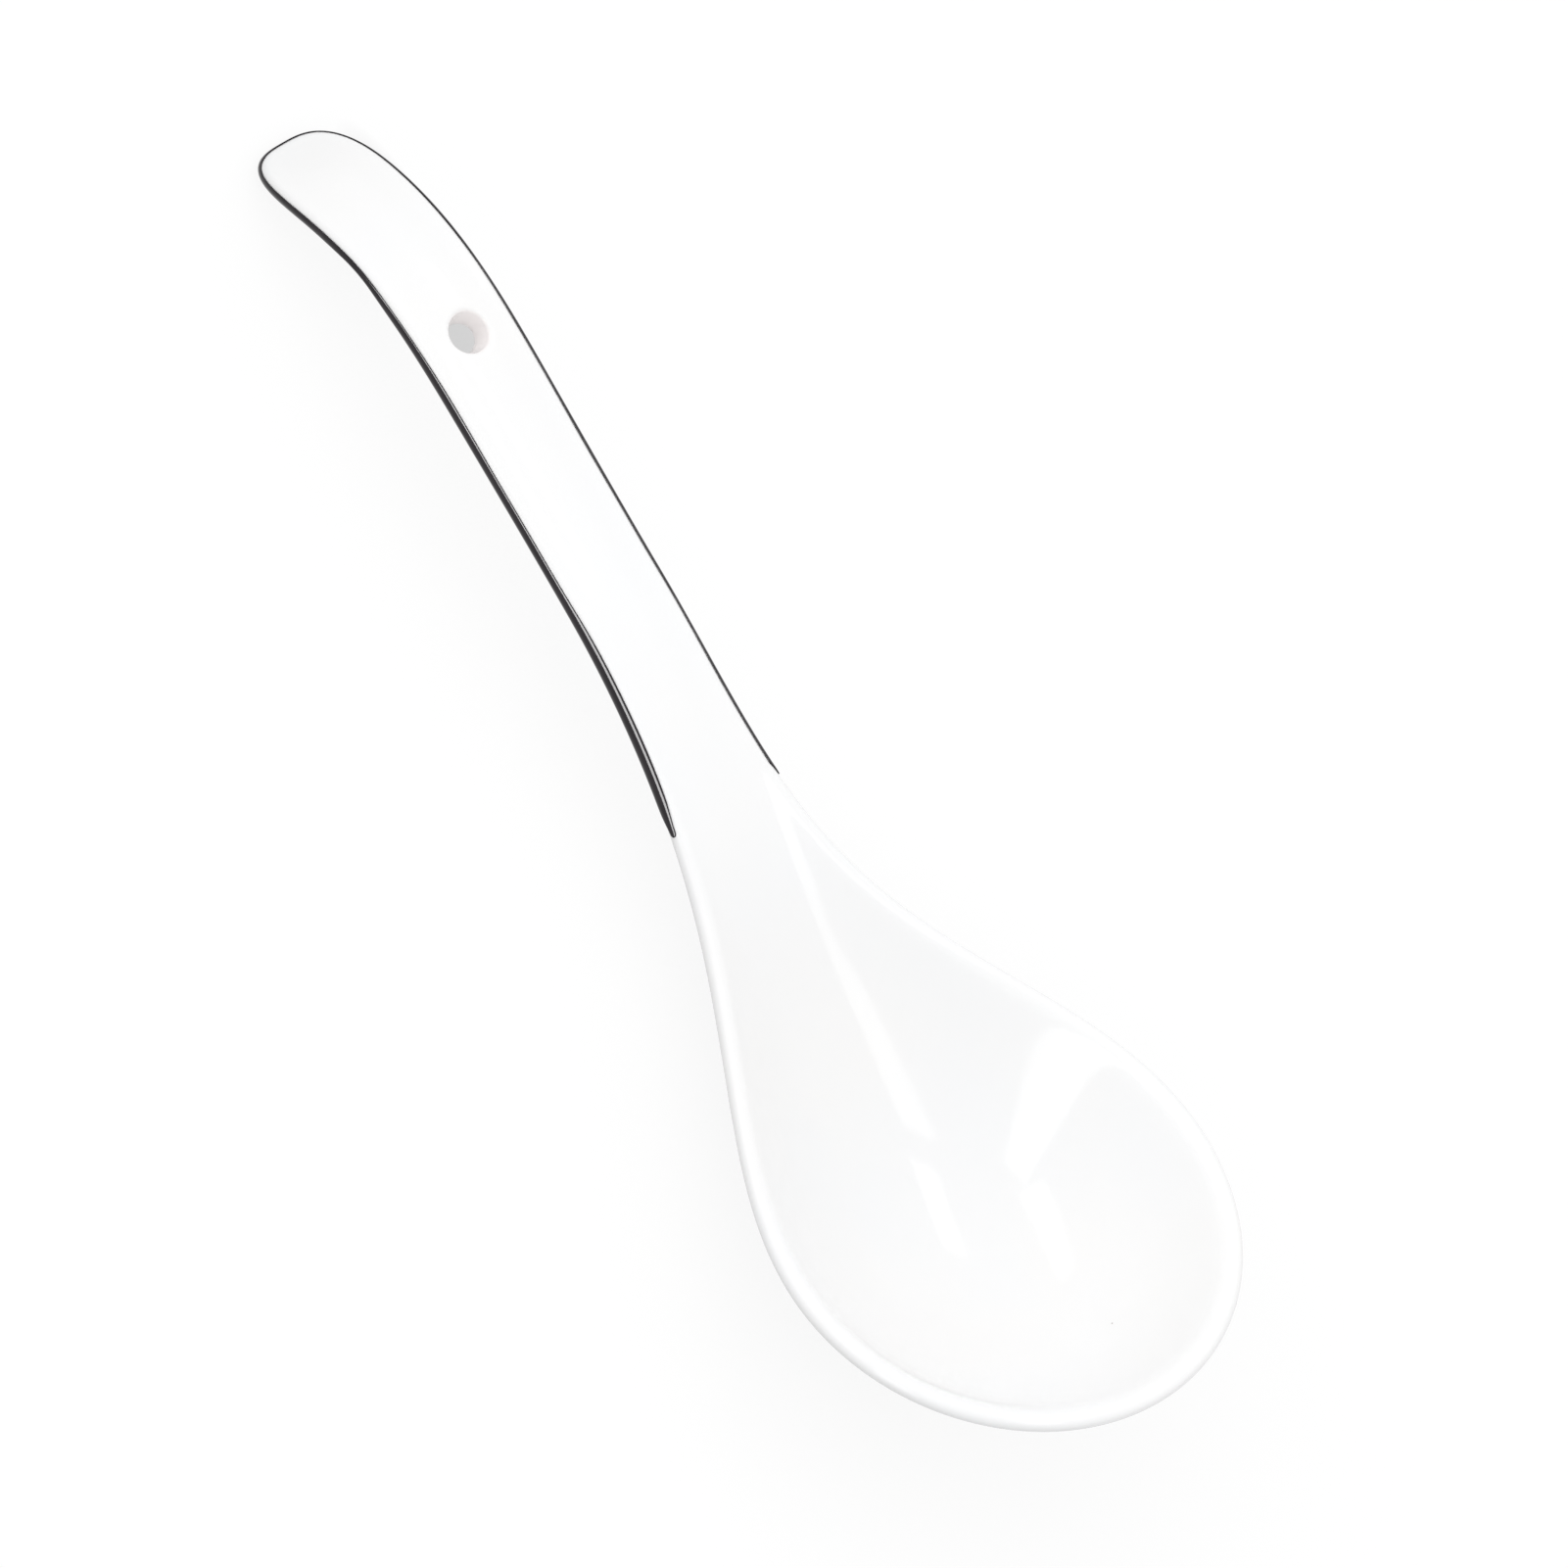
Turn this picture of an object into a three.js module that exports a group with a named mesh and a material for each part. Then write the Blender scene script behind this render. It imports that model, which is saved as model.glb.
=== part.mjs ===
import * as THREE from 'three';
import { mergeVertices } from 'three/addons/utils/BufferGeometryUtils.js';

// A porcelain serving spoon with a drooping handle, lying at rest on its bowl and its tip.
// Millimetres, +Z up, +X towards the front of the bowl.

// Lengths, one after the other from the front of the bowl to the tip of the handle
const NOSE_LENGTH = 33.4; // front edge to the widest and deepest rib
const SHOULDER_LENGTH = 46.5; // widest rib to the lowest point of the neck
const NECK_LENGTH = 53.4; // lowest point of the neck to the level run
const LEVEL_LENGTH = 29; // level run of the handle
const DROOP_LENGTH = 47.4; // end of the level run to the tip

// Bowl
const BOWL_WIDTH = 68.1;
const BOWL_DEPTH = 21; // rim to floor
const BOWL_WALL = 2.8;
const WALL_ANGLE = 45; // degrees, half of the arc that its section sweeps
const RIM_FLARE = 0.1; // share of the depth in which the wall turns out to the rim
const WIDTH_FADE = 42.1; // how far the width takes to fade into the neck
const DEPTH_FADE = 42.9; // how far the hollow takes to fade into the neck
const FRONT_RISE = 24.1; // front of the rim above the lowest point of the neck
const NECK_RADIUS = 43.9; // curve of the spoon's line at the neck
const FOOT_DEPTH = 0.7; // how much the resting flat takes off the underside

// Handle
const HANDLE_WIDTH = 15.4;
const END_WIDTH = 16.2;
const HANDLE_THICKNESS = 4.8;
const HANDLE_CROWN = 0.9; // middle of the top above its edges
const HANDLE_RISE = 4.8; // level run above the lowest point of the neck
const NECK_ANGLE = 20; // degrees, slope of the hollow's side where it runs out
const DROOP_POWER = 3.24; // how late the droop steepens
const TIP_LENGTH = 10.2; // rounded end
const TIP_SQUARENESS = 3.3; // 2 is an ellipse, more is squarer
const EDGE_THICKNESS = 2.5; // rim of the bowl and edge of the handle, fully rounded

// Hanging hole
const HOLE_DIAMETER = 6;
const HOLE_MOUTH = 0.8; // radius of the soft edge
const HOLE_FROM_TIP = 35.1;

// Luting joint between the bowl and the handle
const LUTE_FROM_NECK = 14.6; // behind the lowest point of the neck
const LUTE_THICKNESS = 0.6;

// Painted line round the handle's edge
const LINE_FROM_LUTE = 5.4; // luting joint to the line's two ends
const LINE_THICKNESS = 0.25;

// Mesh steps
const NOSE_RIBS = 14;
const TIP_RIBS = 10;
const RIB_STEP = 4;
const SIDE_STEPS = 11; // middle to rim, on the top and on the underside
const LIP_STEPS = 8; // top to underside round the edge
const LINE_STEPS = 6; // of the lip's steps that the painted line covers
const HOLE_ROWS = 6; // along the handle, left out round the hole
const MOUTH_STEPS = 4;
const SLOPE_STEP = 0.01; // for slopes along the spoon
const TURN_STEP = 0.001; // radians, for slopes across it
const FOOT_STEP = 0.5; // between the places where the lowest point is looked for
const SAME_POINT = 0.0001; // corners this close are one
const SETTLE_ROUNDS = 8; // to let the tip down onto the table

const { smoothstep, lerp, degToRad } = THREE.MathUtils;

// Stations, all measured from the front edge
const centre = NOSE_LENGTH;
const neck = centre + SHOULDER_LENGTH;
const level = neck + NECK_LENGTH;
const bendStart = level + LEVEL_LENGTH;
const tip = bendStart + DROOP_LENGTH;
const tipStart = tip - TIP_LENGTH;
const hole = tip - HOLE_FROM_TIP;
const luteFront = neck + LUTE_FROM_NECK;
const luteBack = luteFront + LUTE_THICKNESS;
const lineEnd = luteBack + LINE_FROM_LUTE;
const lip = EDGE_THICKNESS / 2;

// Bell curve that is 1 at the bowl's centre and fades towards the handle
function fade(station, reach) {
  const past = Math.max(0, station - centre) / reach;
  return Math.exp(-past * past);
}

// How far the tip hangs below the level run, set once the table's height is known
let droop = 0;

// Height of the spoon's line above the lowest point of the neck
function lift(station) {
  if (station < neck) {
    const slope = FRONT_RISE / (Math.hypot(neck, NECK_RADIUS) - NECK_RADIUS);
    return slope * (Math.hypot(neck - station, NECK_RADIUS) - NECK_RADIUS);
  }
  const rise = HANDLE_RISE * smoothstep(station, neck, level);
  const past = Math.max(0, station - bendStart) / (DROOP_LENGTH - lip);
  return past > 0 ? rise - droop * past ** DROOP_POWER : rise;
}

// Half width of the middle of the edge, behind the bowl's widest rib
function halfWidth(station) {
  const handle = lerp(HANDLE_WIDTH, END_WIDTH, smoothstep(station, level, tipStart)) / 2;
  return lerp(handle, BOWL_WIDTH / 2, fade(station, WIDTH_FADE)) - lip;
}

// Half the thickness along the middle
function halfThickness(station) {
  return lerp(HANDLE_THICKNESS, BOWL_WALL, fade(station, DEPTH_FADE)) / 2;
}

// Carries a point of the straight, level spoon onto its curved line
function curve(station, y, z) {
  const slope = (lift(station + SLOPE_STEP) - lift(station - SLOPE_STEP)) / (2 * SLOPE_STEP);
  const length = Math.hypot(1, slope);
  return new THREE.Vector3(-station + (z * slope) / length, y, lift(station) + z / length);
}

// Middle surface of the straight spoon along one rib: distance from the spine and height
function middle(rib, angle) {
  const wall = wallAngle(rib.spine);
  const share = Math.sin(angle) / Math.sin(wall);
  const arc = (Math.cos(angle) - Math.cos(wall)) / (1 - Math.cos(wall));
  const hollow = ((1 + RIM_FLARE) * arc * arc) / (arc + RIM_FLARE);
  const bowl = fade(rib.spine, DEPTH_FADE);
  const swell = HANDLE_CROWN * (1 - bowl) - (halfThickness(rib.spine) - lip);
  const z = swell * (1 - share * share) ** 2 - BOWL_DEPTH * bowl * hollow;
  return new THREE.Vector2(rib.length * share, z);
}

function wallAngle(station) {
  return degToRad(lerp(NECK_ANGLE, WALL_ANGLE, fade(station, WIDTH_FADE)));
}

// Tangent of that middle surface, away from the spine
function outward(rib, angle) {
  return middle(rib, angle + TURN_STEP).sub(middle(rib, angle - TURN_STEP)).normalize();
}

// Half a section: top from the spine to the rim, round the edge, underside back to the spine
function halfSection(rib) {
  const wall = wallAngle(rib.spine);
  const sheet = (step, side) => {
    const angle = (wall * step) / SIDE_STEPS;
    const point = middle(rib, angle);
    const share = point.x / rib.length;
    const half = lerp(lip, halfThickness(rib.spine), (1 - share * share) ** 2);
    const along = outward(rib, angle);
    return point.add(new THREE.Vector2(-along.y, along.x).multiplyScalar(side * half));
  };
  const top = Array.from({ length: SIDE_STEPS }, (_, step) => sheet(step, 1));
  const underside = Array.from({ length: SIDE_STEPS }, (_, step) => sheet(step, -1)).reverse();
  return [...top, ...edge(rib, lip), ...underside];
}

// Rounded edge at the end of a rib, from the top to the underside
function edge(rib, radius) {
  const end = middle(rib, wallAngle(rib.spine));
  const along = outward(rib, wallAngle(rib.spine));
  const across = new THREE.Vector2(-along.y, along.x);
  return Array.from({ length: LIP_STEPS + 1 }, (_, step) => {
    const angle = Math.PI * (0.5 - step / LIP_STEPS);
    const reach = along.clone().multiplyScalar(Math.cos(angle));
    return reach.addScaledVector(across, Math.sin(angle)).multiplyScalar(radius).add(end);
  });
}

// Carries a point of a half section onto the curved spoon, on one side of the spine
function carry(rib, point, side) {
  const along = point.x / rib.length;
  return curve(lerp(rib.spine, rib.edge, along), side * rib.half * along, point.y);
}

// The same, flattened where the spoon rests on the table
function place(rib, point, side) {
  const spot = carry(rib, point, side);
  spot.z = Math.max(spot.z, floor);
  return spot;
}

// Whole section as a closed ring of points, beginning at the middle of the top
function ring(rib) {
  const half = halfSection(rib);
  const right = half.map((point) => place(rib, point, -1));
  const left = half.slice(1, -1).map((point) => place(rib, point, 1));
  return [...right, ...left.reverse()];
}

function makeRib(spine, edgeStation, half) {
  return { spine, edge: edgeStation, half, length: Math.hypot(edgeStation - spine, half) };
}

// Ribs that run square across, from one station to another
function squareRibs(from, to, step = RIB_STEP) {
  const count = Math.ceil((to - from) / step);
  return Array.from({ length: count + 1 }, (_, index) => {
    const station = lerp(from, to, index / count);
    return makeRib(station, station, halfWidth(station));
  });
}

// Ribs that fan out from the bowl's centre round its front
function noseRibs() {
  return Array.from({ length: NOSE_RIBS }, (_, index) => {
    const turn = (Math.PI / 2) * (index / NOSE_RIBS);
    const front = centre - (NOSE_LENGTH - lip) * Math.cos(turn);
    return makeRib(centre, front, halfWidth(centre) * Math.sin(turn));
  });
}

// Ribs that fan out round the handle's rounded end
function tipRibs() {
  return Array.from({ length: TIP_RIBS }, (_, index) => {
    const turn = (Math.PI / 2) * ((index + 1) / TIP_RIBS);
    const reach = (TIP_LENGTH - lip) * Math.sin(turn) ** (2 / TIP_SQUARENESS);
    const width = Math.max(0, Math.cos(turn)) ** (2 / TIP_SQUARENESS);
    const half = index === TIP_RIBS - 1 ? 0 : halfWidth(tipStart) * width;
    return makeRib(tipStart, tipStart + reach, half);
  });
}

// Collects four-sided faces and closes them into one mesh
class Skin {
  constructor() {
    this.corners = [];
  }

  // Two triangles, split along the shorter diagonal so that touching pieces match
  face(a, b, c, d) {
    const isShorter = a.distanceToSquared(c) <= b.distanceToSquared(d);
    for (const corner of isShorter ? [a, b, c, a, c, d] : [b, c, d, b, d, a]) {
      this.corners.push(corner.x, corner.y, corner.z);
    }
  }

  // Faces between closed rings of points, with gaps where the test says so
  loft(rings, isOpen = () => false) {
    const count = rings[0].length;
    for (let row = 0; row + 1 < rings.length; row += 1) {
      for (let index = 0; index < count; index += 1) {
        if (!isOpen(row, index)) {
          const next = (index + 1) % count;
          this.face(rings[row][index], rings[row + 1][index], rings[row + 1][next], rings[row][next]);
        }
      }
    }
  }

  // Flat end on a ring whose two halves mirror each other
  cap(points, facesFront) {
    const count = points.length;
    const half = count / 2;
    for (let step = 0; step < half / 2; step += 1) {
      for (const mirror of [false, true]) {
        const pick = (index) => points[mirror ? (count - index) % count : index];
        const corners = [pick(step), pick(half - step), pick(half - step - 1), pick(step + 1)];
        this.face(...(facesFront === mirror ? corners : corners.reverse()));
      }
    }
  }

  geometry() {
    const loose = new THREE.BufferGeometry();
    loose.setAttribute('position', new THREE.Float32BufferAttribute(this.corners, 3));
    const merged = mergeVertices(loose, SAME_POINT);
    const index = Array.from(merged.index.array);
    const kept = [];
    for (let start = 0; start < index.length; start += 3) {
      const corner = index.slice(start, start + 3);
      if (new Set(corner).size === 3) {
        kept.push(...corner);
      }
    }
    merged.setIndex(kept);
    merged.computeVertexNormals();
    return merged;
  }
}

// The table's height: the bowl's lowest point, less what the resting flat takes off
const undersides = squareRibs(centre, neck, FOOT_STEP).map((rib) => {
  const depth = BOWL_DEPTH * fade(rib.spine, DEPTH_FADE);
  return curve(rib.spine, 0, lip - depth - 2 * halfThickness(rib.spine)).z;
});
const floor = Math.min(...undersides) + FOOT_DEPTH;

// The tip is let down until its painted edge touches the table
const tipRib = tipRibs().at(-1);
const tipEdge = edge(tipRib, lip + LINE_THICKNESS);
for (let round = 0; round < SETTLE_ROUNDS; round += 1) {
  const heights = tipEdge.map((point) => carry(tipRib, point, 1).z);
  droop += Math.min(...heights) - floor;
}

function bowl() {
  const skin = new Skin();
  const rings = [...noseRibs(), ...squareRibs(centre, luteFront)].map(ring);
  skin.loft(rings);
  skin.cap(rings.at(-1), false);
  return skin.geometry();
}

function lutingSeam() {
  const skin = new Skin();
  const rings = squareRibs(luteFront, luteBack).map(ring);
  skin.loft(rings);
  skin.cap(rings[0], true);
  skin.cap(rings.at(-1), false);
  return skin.geometry();
}

// Ribs of the handle: bare edge, painted edge, closer ones round the hanging hole, and the end
const holeReach = HOLE_DIAMETER / 2 + 2 * HOLE_MOUTH;
const bareRibs = squareRibs(luteBack, lineEnd).slice(0, -1);
const gripRibs = squareRibs(lineEnd, hole - holeReach).slice(0, -1);
const holeRibs = squareRibs(hole - holeReach, hole + holeReach, (2 * holeReach) / HOLE_ROWS).slice(0, -1);
const endRibs = [...squareRibs(hole + holeReach, tipStart), ...tipRibs()];
const handleRibs = [...bareRibs, ...gripRibs, ...holeRibs, ...endRibs];

function handle() {
  const skin = new Skin();
  const rings = handleRibs.map(ring);
  const count = rings[0].length;
  const firstRow = bareRibs.length + gripRibs.length;
  const lastRow = firstRow + HOLE_ROWS;
  const columns = Math.min(SIDE_STEPS - 1, Math.ceil((SIDE_STEPS * holeReach) / halfWidth(hole)));
  const topColumn = (column) => (column + count) % count;
  const undersideColumn = (column) => count / 2 - column;
  skin.loft(rings, (row, index) => {
    const fromTop = Math.min(index, count - 1 - index);
    const fromSpine = Math.min(fromTop, count / 2 - 1 - fromTop);
    return row >= firstRow && row < lastRow && fromSpine < columns;
  });
  skin.cap(rings[0], true);

  // The patch left open round the hole, corner to corner, as rows and columns
  const patch = [];
  for (let column = -columns; column < columns; column += 1) {
    patch.push([firstRow, column]);
  }
  for (let row = firstRow; row < lastRow; row += 1) {
    patch.push([row, columns]);
  }
  for (let column = columns; column > -columns; column -= 1) {
    patch.push([lastRow, column]);
  }
  for (let row = lastRow; row > firstRow; row -= 1) {
    patch.push([row, -columns]);
  }

  // Rings of points from the patch over the soft mouth to the hole's wall
  const mouth = (side) => {
    const columnOf = side > 0 ? topColumn : undersideColumn;
    const outer = patch.map(([row, column]) => rings[row][columnOf(column)]);
    const rounds = Array.from({ length: MOUTH_STEPS + 1 }, (_, step) => {
      const turn = (Math.PI / 2) * (step / MOUTH_STEPS);
      const radius = HOLE_DIAMETER / 2 + HOLE_MOUTH * (1 - Math.sin(turn));
      const sunk = HOLE_MOUTH * (1 - Math.cos(turn));
      return patch.map(([row, column]) => {
        const rib = handleRibs[row];
        const bearing = Math.atan2(-(column / SIDE_STEPS) * rib.half, rib.spine - hole);
        const station = hole + radius * Math.cos(bearing);
        const y = radius * Math.sin(bearing);
        return curve(station, y, surface(station, y, side) - side * sunk);
      });
    });
    return [outer, ...rounds];
  };
  skin.loft([...mouth(1), ...mouth(-1).reverse()]);
  return skin.geometry();
}

// Height of the straight handle's top or underside
function surface(station, y, side) {
  const rib = makeRib(station, station, halfWidth(station));
  const share = Math.abs(y) / rib.length;
  const half = lerp(lip, halfThickness(station), (1 - share * share) ** 2);
  return middle(rib, Math.asin(share * Math.sin(wallAngle(station)))).y + side * half;
}

// Painted line: a thin coat on the edge, up one side of the handle, round the tip and down the other
function edgeLine() {
  const ribs = [...gripRibs, ...holeRibs, ...endRibs];
  const skipped = (LIP_STEPS - LINE_STEPS) / 2;
  const strip = (rib, side) => {
    const inner = edge(rib, lip).slice(skipped, -skipped);
    const outer = edge(rib, lip + LINE_THICKNESS).slice(skipped, -skipped);
    return [...inner, ...outer.reverse()].map((point) => place(rib, point, side));
  };
  const up = ribs.map((rib) => strip(rib, 1));
  const down = ribs.slice(0, -1).reverse().map((rib) => strip(rib, -1));
  const rings = [...up, ...down];
  const skin = new Skin();
  skin.loft(rings);
  const end = (loop, isFirst) => {
    for (let step = 0; step < LINE_STEPS; step += 1) {
      const last = loop.length - 1;
      const corners = [loop[step], loop[step + 1], loop[last - step - 1], loop[last - step]];
      skin.face(...(isFirst ? corners : corners.reverse()));
    }
  };
  end(rings[0], true);
  end(rings.at(-1), false);
  return skin.geometry();
}

// Finishes
const porcelain = new THREE.MeshStandardMaterial({ color: '#f4f4f2', roughness: 0.12, metalness: 0 });
const slip = new THREE.MeshStandardMaterial({ color: '#ecebe6', roughness: 0.35, metalness: 0 });
const enamel = new THREE.MeshStandardMaterial({ color: '#17131a', roughness: 0.15, metalness: 0 });

function node(name, geometry, material) {
  const mesh = new THREE.Mesh(geometry, material);
  mesh.name = name;
  return mesh;
}

const spoon = new THREE.Group();
spoon.add(
  node('bowl', bowl(), porcelain),
  node('luting_seam', lutingSeam(), slip),
  node('handle', handle(), porcelain),
  node('edge_line', edgeLine(), enamel),
);

// The origin is on the table, under the middle of the spoon
const box = new THREE.Box3().setFromObject(spoon);
spoon.position.set(-(box.min.x + box.max.x) / 2, 0, -floor);

export default spoon;
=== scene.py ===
# %% [markdown]
# # A porcelain serving spoon
# The spoon is a deep bowl luted to a long handle, covered with a clear glaze. A black line is painted
# round the handle's edge. The solids hold its real size, and this lesson gives every surface its finish.
# %% Load the solids
from math import cos, pi, radians, sin

import bmesh
import bpy
import numpy as np
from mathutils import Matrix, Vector


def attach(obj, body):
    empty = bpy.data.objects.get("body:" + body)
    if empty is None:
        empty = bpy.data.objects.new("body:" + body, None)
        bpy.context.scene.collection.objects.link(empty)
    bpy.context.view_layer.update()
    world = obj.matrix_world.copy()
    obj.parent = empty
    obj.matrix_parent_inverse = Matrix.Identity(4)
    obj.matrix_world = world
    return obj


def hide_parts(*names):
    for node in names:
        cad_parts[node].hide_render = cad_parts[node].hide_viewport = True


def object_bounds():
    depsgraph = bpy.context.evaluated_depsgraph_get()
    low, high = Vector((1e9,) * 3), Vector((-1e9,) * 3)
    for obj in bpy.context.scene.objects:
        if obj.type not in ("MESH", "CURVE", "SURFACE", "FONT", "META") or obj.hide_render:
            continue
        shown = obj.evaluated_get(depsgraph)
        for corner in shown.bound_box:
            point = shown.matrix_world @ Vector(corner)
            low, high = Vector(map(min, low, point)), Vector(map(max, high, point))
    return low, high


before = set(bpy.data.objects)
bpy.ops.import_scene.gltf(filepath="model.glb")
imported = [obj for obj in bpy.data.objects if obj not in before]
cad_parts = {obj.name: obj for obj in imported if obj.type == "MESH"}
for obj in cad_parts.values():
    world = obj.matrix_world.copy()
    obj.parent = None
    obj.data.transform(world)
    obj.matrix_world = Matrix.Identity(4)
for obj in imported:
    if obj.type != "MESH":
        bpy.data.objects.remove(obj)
cad_low, cad_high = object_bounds()
MM = 0.001
size_mm = [round(length / MM, 1) for length in cad_high - cad_low]
print("solids:", ", ".join(sorted(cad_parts)), "size mm:", size_mm)

# %% [markdown]
# ## Camera
# The photograph looks down at 60 degrees, from the side where the black line is wider. It was taken from
# far away, so its lines hardly converge, and a very long lens does the same. The picture is rolled, so the
# spoon runs from corner to corner.
# The three turns could be one matrix, but as roll, pitch and tilt each of them can be read and changed.
# %% Camera
VIEW_ELEVATION = 60
VIEW_TILT = -1.37
VIEW_ROLL = 59.2
VIEW_WIDTH = 216.9 * MM
VIEW_CENTRE = Vector((6.41, 13.67, 8.9)) * MM
LENS = 800

bpy.ops.object.select_all(action="DESELECT")
bpy.ops.object.camera_add()
camera = bpy.context.object
camera.data.lens = LENS
camera.rotation_mode = "ZXY"
camera.rotation_euler = (radians(90 - VIEW_ELEVATION), radians(VIEW_TILT), radians(VIEW_ROLL))
towards_camera = camera.rotation_euler.to_matrix() @ Vector((0, 0, 1))
view_distance = VIEW_WIDTH * LENS / camera.data.sensor_width
camera.location = VIEW_CENTRE + towards_camera * view_distance
camera.data.clip_end = 3 * view_distance
bpy.context.scene.camera = camera
print("camera stands", round(view_distance, 2), "m away")

# %% [markdown]
# ## The line of the spoon
# A potter's profile gauge would follow one line from the front of the bowl to the tip of the handle. Every
# rib of the spoon stands square on that line. A station is a distance along it, from the front edge.
# The line falls from the rim to the neck, rises to the handle's level run and droops to the tip.
# %% The line of the spoon
NOSE_LENGTH = 33.4 * MM
SHOULDER_LENGTH = 46.5 * MM
NECK_LENGTH = 53.4 * MM
LEVEL_LENGTH = 29 * MM
DROOP_LENGTH = 47.4 * MM
FRONT_RISE = 24.1 * MM
NECK_RADIUS = 43.9 * MM
HANDLE_RISE = 4.8 * MM
DROOP_DEPTH = 16.548 * MM
DROOP_POWER = 3.24
EDGE_RADIUS = 1.25 * MM
SLOPE_STEP = 0.01 * MM

centre = NOSE_LENGTH
neck = centre + SHOULDER_LENGTH
level = neck + NECK_LENGTH
bend_start = level + LEVEL_LENGTH
tip = bend_start + DROOP_LENGTH


def smoothstep(value, low, high):
    share = np.clip((value - low) / (high - low), 0, 1)
    return share * share * (3 - 2 * share)


def line_height(station):
    fall = FRONT_RISE / (np.hypot(neck, NECK_RADIUS) - NECK_RADIUS)
    before = fall * (np.hypot(neck - station, NECK_RADIUS) - NECK_RADIUS)
    past = np.maximum(0, station - bend_start) / (DROOP_LENGTH - EDGE_RADIUS)
    after = HANDLE_RISE * smoothstep(station, neck, level) - DROOP_DEPTH * past**DROOP_POWER
    return np.where(station < neck, before, after)


def line_slope(station):
    return (line_height(station + SLOPE_STEP) - line_height(station - SLOPE_STEP)) / (2 * SLOPE_STEP)


def onto_line(station, across, height):
    """Carries points of a straight spoon onto the curved line."""
    slope = line_slope(station)
    length = np.hypot(1, slope)
    spots = (-station + height * slope / length, across, line_height(station) + height / length)
    return np.stack(np.broadcast_arrays(*spots), axis=-1)


print("the line is", round(tip / MM, 1), "mm long")

# %% [markdown]
# ## Ribs
# Across the line the spoon is a hollow: deep and steep in the bowl, shallow in the neck, and slightly
# crowned on the handle. Bell curves fade one into the other, so that no station shows where the bowl ends.
# A wall of a given thickness lies round this middle curve, and its edge is a full round.
# %% Ribs: how wide, thick and steep they are along the line
BOWL_WIDTH = 68.1 * MM
BOWL_DEPTH = 21 * MM
BOWL_WALL = 2.8 * MM
WALL_ANGLE = radians(45)
RIM_FLARE = 0.1
NECK_ANGLE = radians(20)
WIDTH_FADE = 42.1 * MM
DEPTH_FADE = 42.9 * MM
HANDLE_WIDTH = 15.4 * MM
END_WIDTH = 16.2 * MM
HANDLE_THICKNESS = 4.8 * MM
HANDLE_CROWN = 0.9 * MM
TIP_LENGTH = 10.2 * MM
TIP_SQUARENESS = 3.3

tip_start = tip - TIP_LENGTH


def blend(start, end, share):
    return start + (end - start) * share


def bell(station, reach):
    return np.exp(-((np.maximum(0, station - centre) / reach) ** 2))


def half_width(station):
    handle = blend(HANDLE_WIDTH, END_WIDTH, smoothstep(station, level, tip_start)) / 2
    return blend(handle, BOWL_WIDTH / 2, bell(station, WIDTH_FADE)) - EDGE_RADIUS


def half_thickness(station):
    return blend(HANDLE_THICKNESS, BOWL_WALL, bell(station, DEPTH_FADE)) / 2


def wall_angle(station):
    return blend(NECK_ANGLE, WALL_ANGLE, bell(station, WIDTH_FADE))


print("bowl", round(BOWL_WIDTH / MM, 1), "mm wide, handle", round(HANDLE_WIDTH / MM, 1), "mm wide")

# %% Ribs: points on their top, underside and edge
TURN_STEP = 0.001


def middle_curve(rib, angle):
    """Distance from the spine and height, half way through the wall."""
    wall = wall_angle(rib["spine"])
    share = np.sin(angle) / np.sin(wall)
    arc = (np.cos(angle) - np.cos(wall)) / (1 - np.cos(wall))
    hollow = (1 + RIM_FLARE) * arc**2 / (arc + RIM_FLARE)
    bowl = bell(rib["spine"], DEPTH_FADE)
    swell = HANDLE_CROWN * (1 - bowl) - (half_thickness(rib["spine"]) - EDGE_RADIUS)
    return rib["length"] * share, swell * (1 - share**2) ** 2 - BOWL_DEPTH * bowl * hollow


def outward(rib, angle):
    """Direction of that curve, away from the spine."""
    far, high = middle_curve(rib, angle + TURN_STEP)
    near, low = middle_curve(rib, angle - TURN_STEP)
    length = np.hypot(far - near, high - low)
    return (far - near) / length, (high - low) / length


def wall_points(rib, share, side):
    """Top (side 1) or underside (side -1) of a rib, at shares of the way from the spine to the rim."""
    angle = wall_angle(rib["spine"]) * share
    distance, height = middle_curve(rib, angle)
    thickness = blend(EDGE_RADIUS, half_thickness(rib["spine"]), (1 - (distance / rib["length"]) ** 2) ** 2)
    along, up = outward(rib, angle)
    return distance - side * thickness * up, height + side * thickness * along


def edge_points(rib, turn, radius):
    """Rounded edge of a rib: turn is 90 degrees on its top, 0 outside and -90 below."""
    wall = wall_angle(rib["spine"])
    distance, height = middle_curve(rib, wall)
    along, up = outward(rib, wall)
    reach, rise = radius * np.cos(turn), radius * np.sin(turn)
    return distance + reach * along - rise * up, height + reach * up + rise * along


def place(rib, distance, height, side):
    share = distance / rib["length"]
    station = blend(rib["spine"], rib["edge"], share)
    return onto_line(station, side * rib["half"] * share, height)


def make_ribs(spine, edge, half):
    """Ribs as columns, so that one row of shares gives the points of all of them."""
    spine, edge, half = spine[:, None], edge[:, None], half[:, None]
    return {"spine": spine, "edge": edge, "half": half, "length": np.hypot(edge - spine, half)}


bowl_wall, handle_wall = round(BOWL_WALL / MM, 1), round(HANDLE_THICKNESS / MM, 1)
print("the wall is", bowl_wall, "mm thick in the bowl and", handle_wall, "mm in the handle")

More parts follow.
